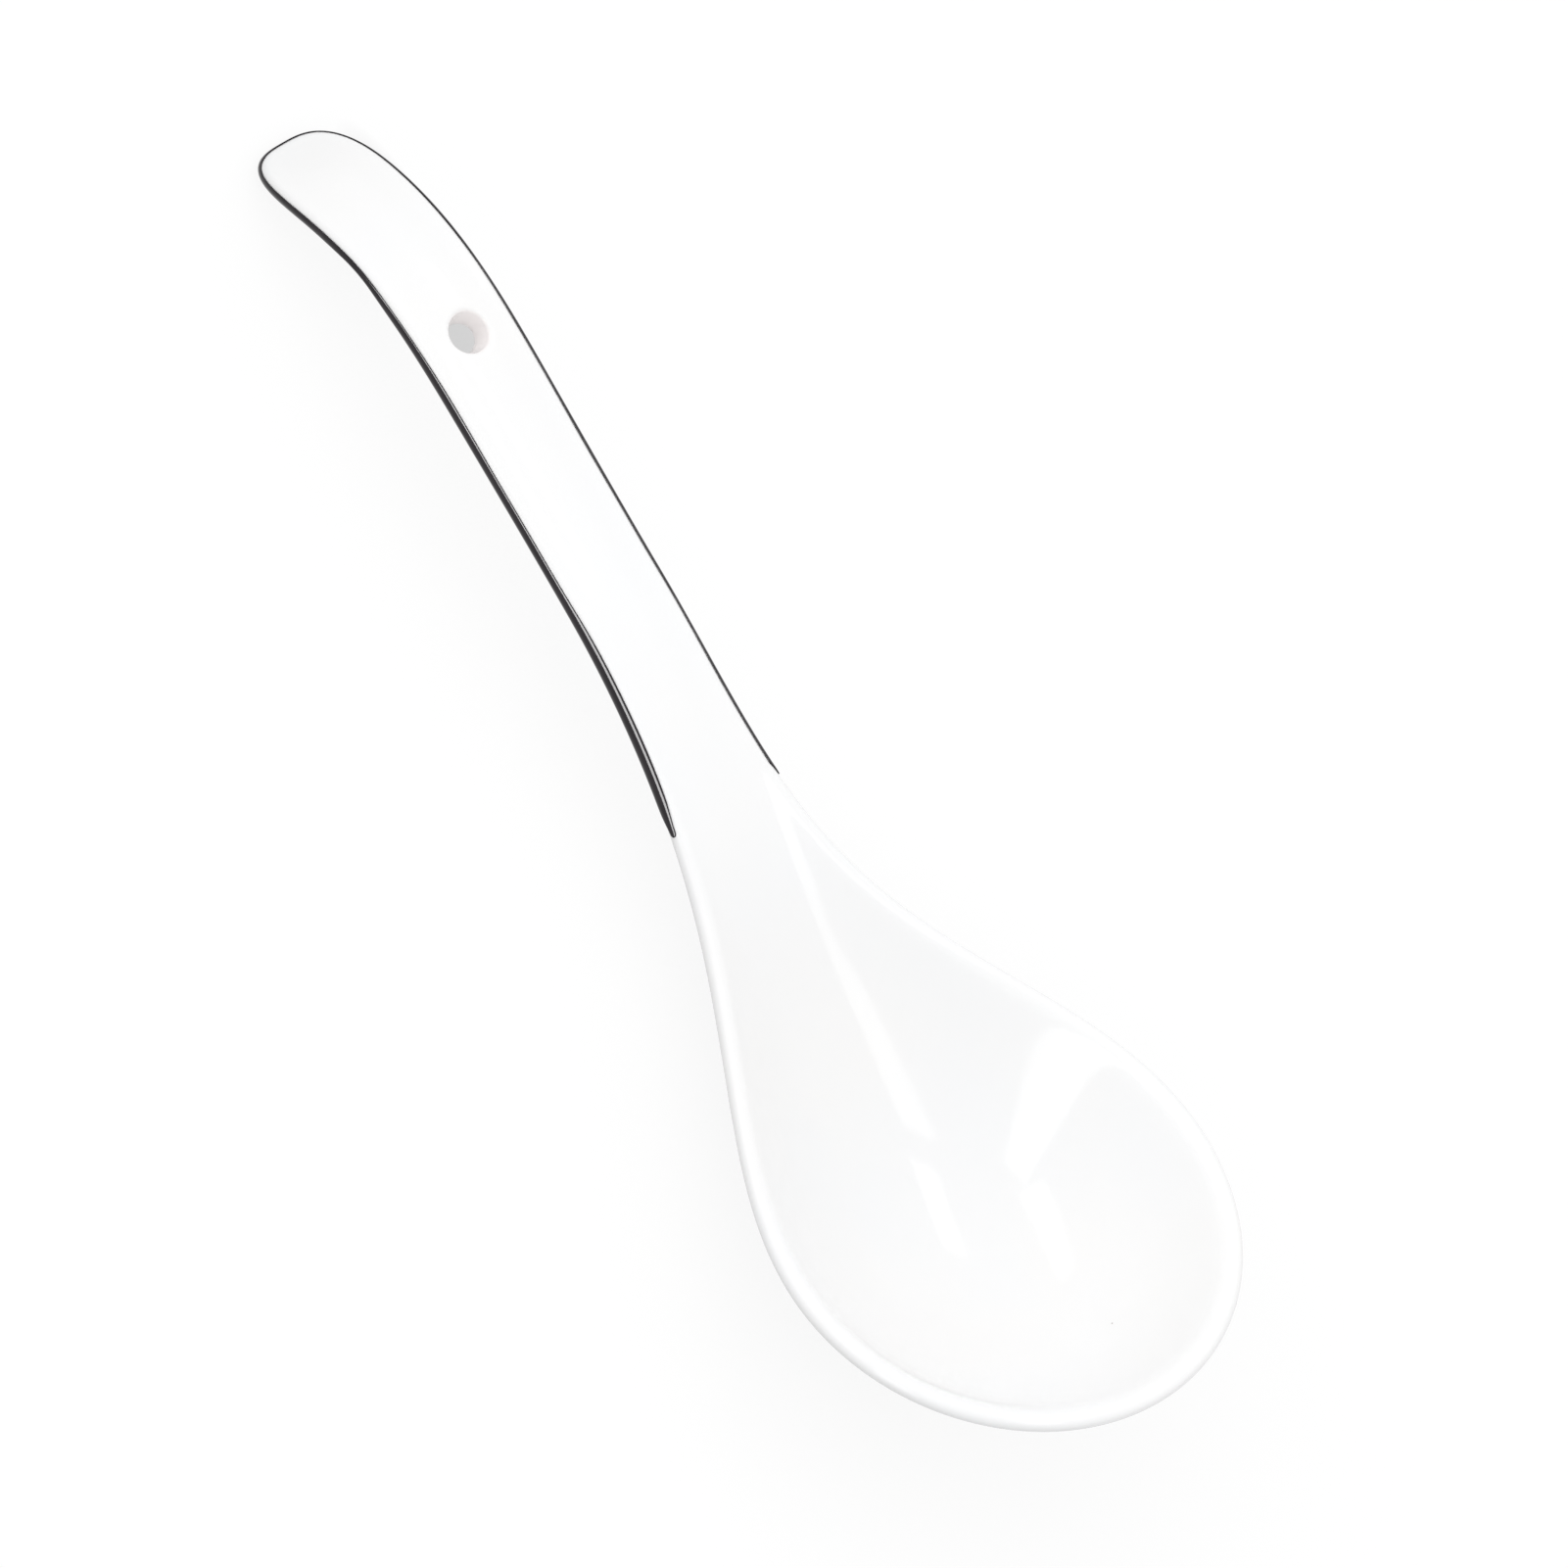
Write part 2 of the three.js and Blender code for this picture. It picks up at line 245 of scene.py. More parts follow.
# %% [markdown]
# ## Where the ribs stand
# Behind the widest rib they run square across. Round the front of the bowl they fan out from its centre,
# and round the end of the handle from the place where it starts to round. One rib stands on the luting
# joint, where the bowl and the handle were joined with slip, so that the two pieces part there cleanly.
# %% Where the ribs stand
LUTE_FROM_NECK = 14.9 * MM
NOSE_RIBS = 72
RIB_STEP = 0.75 * MM
TIP_RIBS = 44

lute = neck + LUTE_FROM_NECK


def stations(start, end, step=RIB_STEP):
    return np.linspace(start, end, int(np.ceil((end - start) / step)) + 1)


def tip_fan(turn):
    reach = (TIP_LENGTH - EDGE_RADIUS) * np.sin(turn) ** (2 / TIP_SQUARENESS)
    return tip_start + reach, half_width(tip_start) * np.maximum(0, np.cos(turn)) ** (2 / TIP_SQUARENESS)


nose_turns = np.linspace(0, pi / 2, NOSE_RIBS, endpoint=False)
square = np.concatenate([stations(centre, lute)[:-1], stations(lute, tip_start)])
tip_edges, tip_halves = tip_fan(np.linspace(0, pi / 2, TIP_RIBS + 1)[1:])
tip_halves[-1] = 0
ribs = make_ribs(
    np.concatenate([np.full(NOSE_RIBS, centre), square, np.full(TIP_RIBS, tip_start)]),
    np.concatenate([centre - (NOSE_LENGTH - EDGE_RADIUS) * np.cos(nose_turns), square, tip_edges]),
    np.concatenate([half_width(centre) * np.sin(nose_turns), half_width(square), tip_halves]),
)
print(len(ribs["spine"]), "ribs")

# %% [markdown]
# ## Body
# Glazed porcelain mirrors every lamp, so a bump that the eye would forgive on wood shows at once. A cage
# pushed into shape by hand leaves such bumps. So a plain grid is wrapped round the ribs instead, like a
# sheet of clay: its columns run round a rib, over the top, round the edge and back below, and its rows run
# along the spoon. The underside is eased into a small flat where the spoon rests.
# %% Body: wrap a grid round the ribs
SIDE_STEPS = 46
EDGE_STEPS = 18
NECK_HEIGHT = 13.773 * MM
FOOT_SOFTNESS = 0.12 * MM

side_shares = np.linspace(0, 1, SIDE_STEPS + 1)[None, :]
edge_turns = np.linspace(pi / 2, -pi / 2, EDGE_STEPS + 1)[None, 1:-1]


def half_ring(side):
    sections = [
        wall_points(ribs, side_shares, 1),
        edge_points(ribs, edge_turns, EDGE_RADIUS),
        wall_points(ribs, side_shares[:, ::-1], -1),
    ]
    distance, height = (np.concatenate(values, axis=1) for values in zip(*sections))
    return place(ribs, distance, height, side)


rings = np.concatenate([half_ring(-1), half_ring(1)[:, -2::-1]], axis=1)
front = cad_high.x - rings[..., 0].max()


def settle(points):
    """Moves points to the spoon's place on the table."""
    points[..., 0] += front
    points[..., 2] = FOOT_SOFTNESS * np.logaddexp(0, (points[..., 2] + NECK_HEIGHT) / FOOT_SOFTNESS)
    return points


def spot_on_line(station):
    return Vector(settle(onto_line(np.array(station), 0.0, 0.0)).tolist())


rings = settle(rings)
rows, columns = rings.shape[:2]
bpy.ops.object.select_all(action="DESELECT")
bpy.ops.mesh.primitive_grid_add(x_subdivisions=columns - 1, y_subdivisions=rows - 1, size=1)
body = bpy.context.object
body.data.vertices.foreach_set("co", rings.ravel())
body.data.update()
print("grid of", rows, "by", columns, "points")

# %% [markdown]
# ## Hanging hole
# A tapered punch goes through the soft clay, and the glaze rounds the mouth. A boolean cut would do, but it
# leaves long thin faces that dent the reflection round the hole. So a square patch of the grid is taken
# out on both faces, and its border is extruded inwards ring by ring: first along the surface towards a
# circle, then over the round mouth. At last the two rings are bridged, which makes the hole's wall.
# %% Hanging hole: take out a patch on both faces
HOLE_RADIUS = 2.65 * MM
HOLE_TAPER = 0.3 * MM
HOLE_MOUTH = 0.8 * MM
HOLE_FROM_TIP = 35.1 * MM
HOLE_PATCH = 5.4 * MM
SAME_POINT = 0.0002 * MM

hole = tip - HOLE_FROM_TIP
patch_columns = round(SIDE_STEPS * HOLE_PATCH / half_width(hole))
spine = ribs["spine"][:, 0]
patch_rows = np.flatnonzero(np.abs((spine[1:] + spine[:-1]) / 2 - hole) < HOLE_PATCH)
middle_column = (columns - 1) // 2
column = np.arange(columns - 1)
in_top = (column < patch_columns) | (column >= columns - 1 - patch_columns)
in_underside = np.abs(column + 0.5 - middle_column) < patch_columns
is_cut = np.zeros((rows - 1, columns - 1), bool)
is_cut[patch_rows] = in_top | in_underside


def select_faces(piece, chosen):
    bpy.context.tool_settings.mesh_select_mode = (False, False, True)
    bpy.ops.object.mode_set(mode="EDIT")
    bpy.ops.mesh.select_all(action="DESELECT")
    bpy.ops.object.mode_set(mode="OBJECT")
    piece.data.polygons.foreach_set("select", np.asarray(chosen).ravel())
    bpy.ops.object.mode_set(mode="EDIT")


def select_border():
    """Selects the open edges of the piece being edited."""
    bpy.ops.mesh.select_mode(type="EDGE")
    bpy.ops.mesh.select_all(action="DESELECT")
    bpy.ops.mesh.select_non_manifold(
        use_wire=False, use_boundary=True, use_multi_face=False, use_non_contiguous=False, use_verts=False
    )


def turn_faces_outwards():
    bpy.ops.mesh.select_all(action="SELECT")
    bpy.ops.mesh.normals_make_consistent(inside=False)


select_faces(body, is_cut)
bpy.ops.mesh.delete(type="FACE")
bpy.ops.mesh.select_all(action="SELECT")
bpy.ops.mesh.remove_doubles(threshold=SAME_POINT)
turn_faces_outwards()
print("took out", int(is_cut.sum()), "faces")

# %% Hanging hole: extrude the border over the mouth
PATCH_RINGS = 8
MOUTH_STEPS = 8
WALL_CUTS = 3
STRAIGHTEN_ROUNDS = 5


def straighten(points):
    """Station, distance across and height of points near the handle, as on a straight spoon."""
    back, across, height = front - points[:, 0], points[:, 1], points[:, 2] - NECK_HEIGHT
    station = back
    for _ in range(STRAIGHTEN_ROUNDS):
        slope = line_slope(station)
        rise = (height - line_height(station)) * np.hypot(1, slope)
        station = back + rise * slope / np.hypot(1, slope)
    return station, across, rise


def skin_height(station, across, side):
    """Height of the straight handle's top or underside."""
    rib = {"spine": station, "length": half_width(station)}
    share = np.abs(across) / rib["length"]
    height = middle_curve(rib, np.arcsin(share * np.sin(wall_angle(station))))[1]
    return height + side * blend(EDGE_RADIUS, half_thickness(station), (1 - share**2) ** 2)


def extrude_ring(radius_of, sunk):
    """Extrudes the selected border and moves the new ring to another radius and depth."""
    bpy.ops.mesh.extrude_edges_move()
    clay = bmesh.from_edit_mesh(body.data)
    ring = [vertex for vertex in clay.verts if vertex.select]
    station, across, rise = straighten(np.array([vertex.co for vertex in ring]))
    side = np.where(rise > skin_height(station, across, 0), 1, -1)
    radius = radius_of(np.hypot(station - hole, across), HOLE_RADIUS + side * HOLE_TAPER)
    bearing = np.arctan2(across, station - hole)
    station, across = hole + radius * np.cos(bearing), radius * np.sin(bearing)
    spots = settle(onto_line(station, across, skin_height(station, across, side) - side * sunk))
    for vertex, spot in zip(ring, spots):
        vertex.co = spot
    bmesh.update_edit_mesh(body.data)


select_border()
for left in range(PATCH_RINGS, 0, -1):
    extrude_ring(lambda radius, wall: blend(radius, wall + HOLE_MOUTH, 1 / left), 0)
for step in range(1, MOUTH_STEPS + 1):
    turn = pi / 2 * step / MOUTH_STEPS
    extrude_ring(lambda radius, wall: wall + HOLE_MOUTH * (1 - sin(turn)), HOLE_MOUTH * (1 - cos(turn)))
bpy.ops.mesh.bridge_edge_loops(number_cuts=WALL_CUTS)
turn_faces_outwards()
bpy.ops.object.mode_set(mode="OBJECT")
bpy.ops.object.shade_smooth()
print("body has", len(body.data.polygons), "faces")

# %% Hanging hole: mark where the glaze is thin and where painted light lightens the hole's wall
THIN_GLAZE_AND_LIGHT_REACH = 0.4 * HOLE_MOUTH

corners = np.empty(3 * len(body.data.vertices), np.float32)
body.data.vertices.foreach_get("co", corners)
station, across, _ = straighten(corners.reshape(-1, 3))
widest = HOLE_RADIUS + HOLE_TAPER
# This mark also lays painted light on the hole's wall: the clay there is painted lighter than the glaze.
bare_and_lit = 1 - smoothstep(np.hypot(station - hole, across), widest, widest + THIN_GLAZE_AND_LIGHT_REACH)
mark = body.data.attributes.new("thin_glaze_and_painted_light", "FLOAT", "POINT")
mark.data.foreach_set("value", bare_and_lit.astype(np.float32))
print("thin glaze on", int((bare_and_lit > 0.5).sum()), "points")

# %% [markdown]
# ## Bowl and handle
# On the bench the bowl and the handle are two pieces. They part at the rib of the luting joint, and each
# gets a flat end there. The glaze hides the joint, so the surface has to run on across it: the directions
# of the whole body's surface are kept on both sides of the cut.
# %% Bowl and handle: part them at the luting joint
JOINT_TOLERANCE = 0.01 * MM
SPOT_DIGITS = 7

joint_slope = float(line_slope(np.array(lute)))
joint_spot = spot_on_line(lute)
joint_axis = Vector((1, 0, -joint_slope)).normalized()


def from_joint(spot):
    """Distance in front of the joint's plane."""
    return (spot - joint_spot) @ joint_axis


def spot_key(spot):
    return tuple(np.round(spot, SPOT_DIGITS))


whole = {
    spot_key(vertex.co): vertex.normal.copy()
    for vertex in body.data.vertices
    if abs(from_joint(vertex.co)) < JOINT_TOLERANCE
}
select_faces(body, [from_joint(face.center) < 0 for face in body.data.polygons])
bpy.ops.mesh.separate(type="SELECTED")
bpy.ops.object.mode_set(mode="OBJECT")
bowl = body
handle = next(piece for piece in bpy.context.selected_objects if piece is not bowl)
bowl.name, handle.name = "porcelain_bowl", "porcelain_handle"
print("bowl and handle part at", round(joint_spot.x / MM, 1), "mm")

# %% Bowl and handle: close their ends
# A direction of zero length leaves a corner as it is.
OWN_DIRECTION = (0, 0, 0)


def close_end(piece):
    """Fills the open end at the joint and keeps the whole body's surface directions beside it."""
    bpy.ops.object.select_all(action="DESELECT")
    piece.select_set(True)
    bpy.context.view_layer.objects.active = piece
    bpy.ops.object.mode_set(mode="EDIT")
    select_border()
    bpy.ops.mesh.mark_sharp()
    bpy.ops.mesh.fill(use_beauty=True)
    turn_faces_outwards()
    bpy.ops.object.mode_set(mode="OBJECT")
    mesh = piece.data
    kept = [OWN_DIRECTION] * len(mesh.loops)
    for face in mesh.polygons:
        if abs(from_joint(face.center)) > JOINT_TOLERANCE:
            for index in face.loop_indices:
                corner = mesh.vertices[mesh.loops[index].vertex_index]
                kept[index] = whole.get(spot_key(corner.co), OWN_DIRECTION)
    mesh.normals_split_custom_set(kept)
    print(piece.name, "has", len(mesh.polygons), "faces")


for piece in (bowl, handle):
    close_end(piece)

# %% [markdown]
# ## Painted line
# A brush loaded with black enamel was drawn along the handle's edge, up one side, round the tip and down
# the other. The coat is thin. It swells and shrinks a little with the hand and thins out at its borders.
# It could be a mask in the porcelain's finish, but a coat of its own keeps a crisp border in every view.
# A grid is wrapped round the edge between two limits, and Solidify gives the coat its thickness inwards.
# %% Painted line: where its borders run
LINE_FROM_LUTE = 5.7 * MM
LINE_STEP, END_STEP = 0.4 * MM, 0.04 * MM
ROUND_END = 0.45 * MM
LINE_WOBBLE = radians(2)
SWAY_LENGTH, QUIVER_LENGTH, QUIVER_SHARE = 7.3 * MM, 2.9 * MM, 0.6
NECK_TOP, GRIP_TOP, NEAR_TIP_TOP = radians(57.5), radians(40), radians(22)
LIFTED_TOP, LIFTED_FOOT = radians(43), radians(6)
FAR_TOP, FAR_TIP_TOP, END_TOP = radians(60), radians(52), radians(48)
LINE_FOOT, RAISED_FOOT, RAISED_TOP = radians(-52), radians(3), radians(38)
LIFT_REACH = 5.5 * MM
CORNER_SHARE = 0.5
DROOP_FROM, DROOP_TO = 30 * MM, 5 * MM
THINNING_FROM, THINNING_TO = 17 * MM, 50 * MM
RAISED_FROM_TIP = 20.5 * MM
RAISED_REACH = 7 * MM

line_start = lute + LINE_FROM_LUTE
end_rows = stations(line_start, line_start + ROUND_END, END_STEP)
straight = np.concatenate([end_rows[:-1], stations(line_start + ROUND_END, tip_start, LINE_STEP)])
line_ribs = make_ribs(
    np.concatenate([straight, np.full(TIP_RIBS, tip_start)]),
    np.concatenate([straight, tip_edges]),
    np.concatenate([half_width(straight), tip_halves]),
)
from_end = line_ribs["edge"] - line_start


def line_borders(side):
    """Turns of the line's upper and lower border round the edge."""
    sway, quiver = np.sin(from_end / SWAY_LENGTH + side), np.sin(from_end / QUIVER_LENGTH + 2 * side)
    wobble = LINE_WOBBLE * (sway + QUIVER_SHARE * quiver)
    drooped = smoothstep(line_ribs["edge"], tip_start - DROOP_FROM, tip_start - DROOP_TO)
    near_top = blend(NECK_TOP, GRIP_TOP, smoothstep(from_end, THINNING_FROM, THINNING_TO))
    near_top = blend(near_top, NEAR_TIP_TOP, drooped)
    top = near_top if side < 0 else blend(FAR_TOP, FAR_TIP_TOP, drooped)
    corner = 1 - line_ribs["half"] / half_width(tip_start)
    top = blend(top, END_TOP, smoothstep(corner, 0, CORNER_SHARE))
    raised = np.exp(-(((line_ribs["edge"] - tip + RAISED_FROM_TIP) / RAISED_REACH) ** 2)) * (side < 0)
    top, foot = blend(top, RAISED_TOP, raised), blend(LINE_FOOT, RAISED_FOOT, raised)
    lifted = (1 - smoothstep(from_end, 0, LIFT_REACH)) * (side < 0)
    return blend(top, LIFTED_TOP, lifted) + wobble, blend(foot, LIFTED_FOOT, lifted) - wobble


print("the line is painted from station", round(line_start / MM, 1), "mm to the tip and back")

# %% Painted line: wrap a grid between the borders
LINE_ACROSS = 16
LINE_PROUD = 0.05 * MM
LINE_SUNK = 0.02 * MM
COAT_FLATNESS = 4
TAPERED_END, TAPER_POWER = 2 * MM, 0.7
NARROWEST_ROUND, NARROWEST_TAPER = 0.05, 0.02
CURL = radians(8)


def painted_side(side, end_share, curl):
    """Points of the coat on one side of the handle, from its end to the tip."""
    top, foot = line_borders(side)
    middle, half = (top + foot) / 2 + curl, (top - foot) / 2 * end_share
    share = np.linspace(1, -1, LINE_ACROSS + 1)[None, :]
    proud = (LINE_PROUD + LINE_SUNK) * (1 - share**COAT_FLATNESS) - LINE_SUNK
    distance, height = edge_points(line_ribs, middle + share * half, EDGE_RADIUS + proud)
    return place(line_ribs, distance, height, side)


circle = 1 - (1 - np.clip(from_end / ROUND_END, 0, 1)) ** 2
rounded = np.sqrt(np.clip(circle, NARROWEST_ROUND**2, 1))
tapered = np.clip(from_end / TAPERED_END, NARROWEST_TAPER, 1) ** TAPER_POWER
near_side = painted_side(-1, rounded, 0)
far_side = painted_side(1, tapered, (1 - tapered) * CURL)
coat = settle(np.concatenate([near_side, far_side[-2::-1]]))
bpy.ops.object.select_all(action="DESELECT")
bpy.ops.mesh.primitive_grid_add(x_subdivisions=LINE_ACROSS, y_subdivisions=len(coat) - 1, size=1)
line = bpy.context.object
line.name = "painted_line"
line.data.vertices.foreach_set("co", coat.ravel())
line.data.update()
bpy.ops.object.shade_smooth()
print("painted line has", len(coat), "rows")

# %% Painted line: give the coat its thickness
LINE_COAT = 0.2 * MM

bpy.ops.object.modifier_add(type="SOLIDIFY")
line.modifiers[-1].thickness = LINE_COAT
line.modifiers[-1].offset = -1
bpy.ops.object.modifier_apply(modifier=line.modifiers[-1].name)
print("coat closes with", len(line.data.polygons), "faces")

# %% [markdown]
# ## Steps of a finish
# A glaze, an enamel or a sheet of paper gets its colour and gloss in small steps, which start at the place
# on the surface: a noise, a ramp of colours, one colour laid over another. Wiring each step out would hide
# the recipe, so each kind of step is one helper here. They all add to the finish that was begun last.
# %% Steps of a finish
# The colour sockets of a mix share their names with its number sockets, so they go by their places.
MIX_SHARE, MIX_BELOW, MIX_ABOVE, MIX_COLOUR = 0, 6, 7, 2


def new_material(name):
    material = bpy.data.materials.new(name)
    material.use_nodes = True
    return material, material.node_tree.nodes, material.node_tree.links


def noise(vector, scale, detail):
    node = nodes.new("ShaderNodeTexNoise")
    node.inputs["Scale"].default_value = scale
    node.inputs["Detail"].default_value = detail
    links.new(vector, node.inputs["Vector"])
    return node.outputs["Fac"]


def ramp(source, *stops):
    node = nodes.new("ShaderNodeValToRGB")
    for element, (position, colour) in zip(node.color_ramp.elements, stops):
        element.position = position
        element.color = (*colour, 1)
    links.new(source, node.inputs["Fac"])
    return node.outputs["Color"]


def over(share, below, colour):
    """Lays a colour over another one."""
    node = nodes.new("ShaderNodeMix")
    node.data_type = "RGBA"
    links.new(share, node.inputs[MIX_SHARE])
    links.new(below, node.inputs[MIX_BELOW])
    node.inputs[MIX_ABOVE].default_value = (*colour, 1)
    return node.outputs[MIX_COLOUR]


def between(source, start, end, low=0, high=1):
    """Runs from start to end while the source runs from low to high."""
    node = nodes.new("ShaderNodeMapRange")
    for name, value in (("From Min", low), ("From Max", high), ("To Min", start), ("To Max", end)):
        node.inputs[name].default_value = value
    links.new(source, node.inputs["Value"])
    return node.outputs["Result"]


def stretched(scale):
    """Places on the object, scaled along each axis."""
    coords = nodes.new("ShaderNodeTexCoord")
    node = nodes.new("ShaderNodeMapping")
    node.inputs["Scale"].default_value = scale
    links.new(coords.outputs["Object"], node.inputs["Vector"])
    return node.outputs["Vector"]


def distance_to(spot, vector):
    node = nodes.new("ShaderNodeVectorMath")
    node.operation = "DISTANCE"
    node.inputs[1].default_value = spot
    links.new(vector, node.inputs[0])
    return node.outputs["Value"]


def pick(operation, sources):
    """Smallest (MINIMUM) or largest (MAXIMUM) of several values."""
    picked = sources[0]
    for source in sources[1:]:
        node = nodes.new("ShaderNodeMath")
        node.operation = operation
        links.new(picked, node.inputs[0])
        links.new(source, node.inputs[1])
        picked = node.outputs["Value"]
    return picked


print("steps: noise, ramp, over, between, stretched, distance_to, pick")

# %% [markdown]
# ## Porcelain finish
# White porcelain under a clear glaze is a dense white body below one smooth, hard surface. Before it sets,
# the glaze runs: its surface is never quite flat, and its white drifts between cool and warm. On the wall
# of the hole it is thin, and the warmer clay shows through; that clay is also painted lighter than the
# glaze, as painted light for the light that shines through the thin porcelain there. A few iron specks
# burn through the glaze elsewhere.
# A picture of real glaze would show its seams, so all of this is worked out from the place on the spoon.
# %% Porcelain finish: white that drifts between cool and warm, and painted light on the hole's wall
COOL_WHITE, WARM_WHITE = (0.893, 0.897, 0.903), (0.903, 0.901, 0.899)
ALL_COOL, ALL_WARM = 0.35, 0.65
DRIFT_SCALE, DRIFT_DETAIL = 38, 2
# The bare clay is painted lighter than the glaze: painted light for the light that shines through the thin
# porcelain of the hole's wall.
BARE_CLAY_AND_PAINTED_LIGHT = (0.96, 0.925, 0.92)
GLAZE_IOR = 1.52

porcelain, nodes, links = new_material("glazed_porcelain")
shader = nodes["Principled BSDF"]
shader.inputs["IOR"].default_value = GLAZE_IOR
coords = nodes.new("ShaderNodeTexCoord")
drift = noise(coords.outputs["Object"], DRIFT_SCALE, DRIFT_DETAIL)
white = ramp(drift, (ALL_COOL, COOL_WHITE), (ALL_WARM, WARM_WHITE))
thin_glaze_and_painted_light = nodes.new("ShaderNodeAttribute")
thin_glaze_and_painted_light.attribute_name = "thin_glaze_and_painted_light"
clay = over(thin_glaze_and_painted_light.outputs["Fac"], white, BARE_CLAY_AND_PAINTED_LIGHT)
print("white drifts from", COOL_WHITE, "to", WARM_WHITE)

# %% Porcelain finish: iron specks
SPECKS_NEAR_MM = ((93.5, 9.5, 20), (40, -20, 6), (70, 16, 3))
SPECK_RADIUS = 0.16 * MM
IRON = (0.16, 0.1, 0.07)


def nearest_corner(piece, spot):
    return min((vertex.co for vertex in piece.data.vertices), key=lambda corner: (corner - spot).length)


speck_corners = [nearest_corner(bowl, Vector(spot) * MM) for spot in SPECKS_NEAR_MM]
from_speck = pick("MINIMUM", [distance_to(corner, coords.outputs["Object"]) for corner in speck_corners])
speck = between(from_speck, 1, 0, high=SPECK_RADIUS)
links.new(over(speck, clay, IRON), shader.inputs["Base Color"])
print(len(speck_corners), "iron specks")

# %% Porcelain finish: gloss and ripple of the glaze
POLISHED, WORN = 0.05, 0.12
WEAR_SCALE, WEAR_DETAIL = 150, 3
RIPPLE = 0.05 * MM
RIPPLE_STRENGTH = 0.25
RIPPLE_SCALE, RIPPLE_DETAIL = 90, 1

wear = noise(coords.outputs["Object"], WEAR_SCALE, WEAR_DETAIL)
links.new(between(wear, POLISHED, WORN), shader.inputs["Roughness"])
bump = nodes.new("ShaderNodeBump")
bump.inputs["Strength"].default_value = RIPPLE_STRENGTH
bump.inputs["Distance"].default_value = RIPPLE
links.new(noise(coords.outputs["Object"], RIPPLE_SCALE, RIPPLE_DETAIL), bump.inputs["Height"])
links.new(bump.outputs["Normal"], shader.inputs["Normal"])
for piece in (bowl, handle):
    piece.data.materials.clear()
    piece.data.materials.append(porcelain)
print("glaze ripples by", RIPPLE / MM, "mm")

# %% [markdown]
# ## Black enamel finish
# The line is black enamel, fired on until it flows smooth. The brush leaves streaks along the line, where
# the coat is thinner and a little browner. A noise drawn out along the handle makes them, so no streak is
# placed by hand.
# %% Black enamel finish
THICK_ENAMEL, THIN_ENAMEL = (0.008, 0.006, 0.008), (0.022, 0.017, 0.021)
ALL_THICK, ALL_THIN = 0.3, 0.75
STREAK_SCALE, STREAK_DETAIL = 900, 3
STREAK_SLIMNESS = 0.12
ENAMEL_SHINE, ENAMEL_ROUGHNESS = 0.3, 0.1

enamel, nodes, links = new_material("black_enamel")
shader = nodes["Principled BSDF"]
shader.inputs["Specular IOR Level"].default_value = ENAMEL_SHINE
shader.inputs["Roughness"].default_value = ENAMEL_ROUGHNESS
streaks = noise(stretched((STREAK_SLIMNESS, 1, 1)), STREAK_SCALE, STREAK_DETAIL)
black = ramp(streaks, (ALL_THICK, THICK_ENAMEL), (ALL_THIN, THIN_ENAMEL))
links.new(black, shader.inputs["Base Color"])
line.data.materials.clear()
line.data.materials.append(enamel)
print("brush streaks are", round(1 / STREAK_SLIMNESS), "times as long as wide")

# %% [markdown]
# ## Floor
# The spoon lies on white paper that fades into a white surround. Paper lit like the spoon would come out a
# little grey, so a share of what the eye sees of it glows white by itself. The other share is plain paper,
# which keeps the spoon's shadow. More lamps would whiten the paper too, but they would bleach the spoon.
# Through the hole the ground shows grey, as the handle shades it. That soft shade lies in the paper itself,
# under the handle, because the white glow would wash out a cast one.
# %% Floor: a sheet of paper
FLOOR_SIZE = 6
PAPER_GREY = (0.48, 0.48, 0.48)

bpy.ops.object.select_all(action="DESELECT")
bpy.ops.mesh.primitive_plane_add(size=FLOOR_SIZE)
floor = bpy.context.object
floor.name = "floor"
paper, nodes, links = new_material("white_paper")
floor.data.materials.append(paper)
shader = nodes["Principled BSDF"]
shader.inputs["Roughness"].default_value = 1
shader.inputs["Specular IOR Level"].default_value = 0
shader.inputs["Base Color"].default_value = (*PAPER_GREY, 1)
print("paper", FLOOR_SIZE, "m wide")

# %% Floor: its white glow, with the soft shade under the handle
FLOOR_GLOW = 0.7
PAPER_WHITE = 1.22
SHADE_GREY, CLEAR_WHITE = (0.62, 0.62, 0.62), (1, 1, 1)
SHADE_RADIUS, SHADE_REACH = 3 * MM, 7 * MM
SHADE_SLIMNESS = Vector((0.2, 1, 1))


def seen_directly():
    """1 for rays that show the background: camera, glossy and transmission rays."""
    light_path = nodes.new("ShaderNodeLightPath")
    rays = ("Is Camera Ray", "Is Glossy Ray", "Is Transmission Ray")
    return pick("MAXIMUM", [light_path.outputs[ray] for ray in rays])


hole_middle = spot_on_line(hole)
shade_middle = hole_middle - towards_camera * (hole_middle.z / towards_camera.z)
from_shade = distance_to(shade_middle * SHADE_SLIMNESS, stretched(SHADE_SLIMNESS))
clear = between(from_shade, 0, 1, SHADE_RADIUS, SHADE_REACH)
glow = nodes.new("ShaderNodeEmission")
glow.inputs["Strength"].default_value = PAPER_WHITE
links.new(ramp(clear, (0, SHADE_GREY), (1, CLEAR_WHITE)), glow.inputs["Color"])
mix = nodes.new("ShaderNodeMixShader")
links.new(between(seen_directly(), 0, FLOOR_GLOW), mix.inputs["Fac"])
links.new(shader.outputs["BSDF"], mix.inputs[1])
links.new(glow.outputs["Emission"], mix.inputs[2])
links.new(mix.outputs["Shader"], nodes["Material Output"].inputs["Surface"])
print(FLOOR_GLOW, "of what is seen of the paper glows")

# %% [markdown]
# ## World
# The room is white all round. Its walls are brighter than its ceiling, so the light is even, reaches under
# the rim and leaves hardly a shadow. A ring of lamps could do that too, but each of them would be mirrored
# in the glaze. In mirrors and to the eye the room is pure white.
# %% World
WALL_LEVEL, CEILING_LEVEL = 1.03, 0.77
CEILING_SHARE = 2 / 3
MIX_FROM, MIX_TO, MIX_NUMBER = 2, 3, 0

